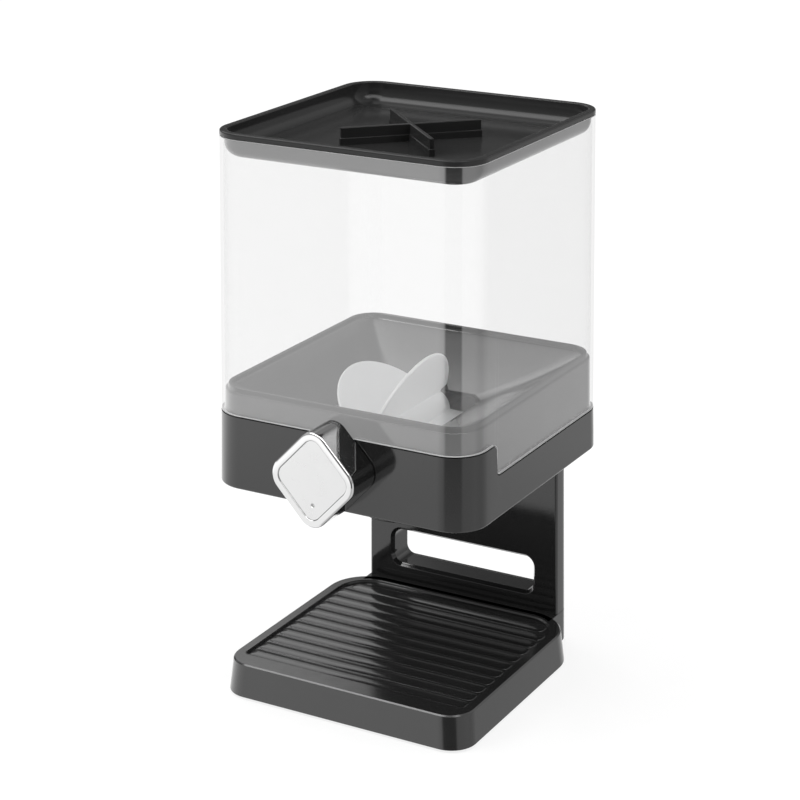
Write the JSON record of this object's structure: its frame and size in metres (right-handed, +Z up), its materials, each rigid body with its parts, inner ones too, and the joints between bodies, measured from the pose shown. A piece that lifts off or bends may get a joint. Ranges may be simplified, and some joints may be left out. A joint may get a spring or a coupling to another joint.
{
  "type": "cereal dispenser",
  "caption": "Countertop dry-food dispenser: clear square canister with lift-off lid on a black stand; a front knob turns a soft paddle wheel over a ribbed crumb tray.",
  "frame": {"origin": "on the table, under the middle of the overall width and depth; the canister's vertical centreline is 11.425 mm behind it", "axes": "+Z up; -Y is the front, where the knob is; +X is to the right of a person facing the front"},
  "size_m": [0.168, 0.1964, 0.3155],
  "materials": {
    "gloss_black": "glossy moulded plastic",
    "matte_black": "fine texture moulded plastic",
    "clear_plastic": "clear polished plastic",
    "soft_white": "translucent soft silicone",
    "white_bearing": "plain acetal plastic",
    "chrome": "bright plating",
    "satin_plate": "satin",
    "steel": "plain machined",
    "rubber": "soft matt",
    "seal": "soft matt"
  },
  "bodies": {
    "stand": {"base_shell": "gloss_black", "base_cover": "matte_black", "base_cover_screws": "steel", "rubber_feet": "rubber", "column_front_shell": "gloss_black", "column_rear_cover": "matte_black", "column_cover_screws": "steel", "column_foot_screws": "steel", "column_head_screws": "steel", "housing_shell": "gloss_black", "hopper_funnel": "matte_black", "hopper_screws": "steel", "outlet_chute": "matte_black", "chute_screws": "steel", "front_bush": "white_bearing", "rear_bush": "white_bearing"},
    "rotor": {"drive_shaft": "steel", "shaft_clip": "steel", "paddle_hub": "white_bearing", "paddle_vanes": "soft_white", "knob_body": "chrome", "knob_face_plate": "satin_plate", "knob_screw": "steel"},
    "canister": {"canister": "clear_plastic"},
    "lid": {"lid_tray": "gloss_black", "lid_gasket": "seal"}
  },
  "joints": [
    {"name": "rotor_turn", "type": "hinge", "parent": "stand", "child": "rotor", "pos_m": [0, 0.00143, 0.1417], "axis": [0, 1, 0], "continuous": true},
    {"name": "canister_lift", "type": "slide", "parent": "stand", "child": "canister", "axis": [0, 0, 1], "range_m": [0, 0.045]},
    {"name": "lid_lift", "type": "slide", "parent": "canister", "child": "lid", "axis": [0, 0, 1], "range_m": [0, 0.03]}
  ]
}
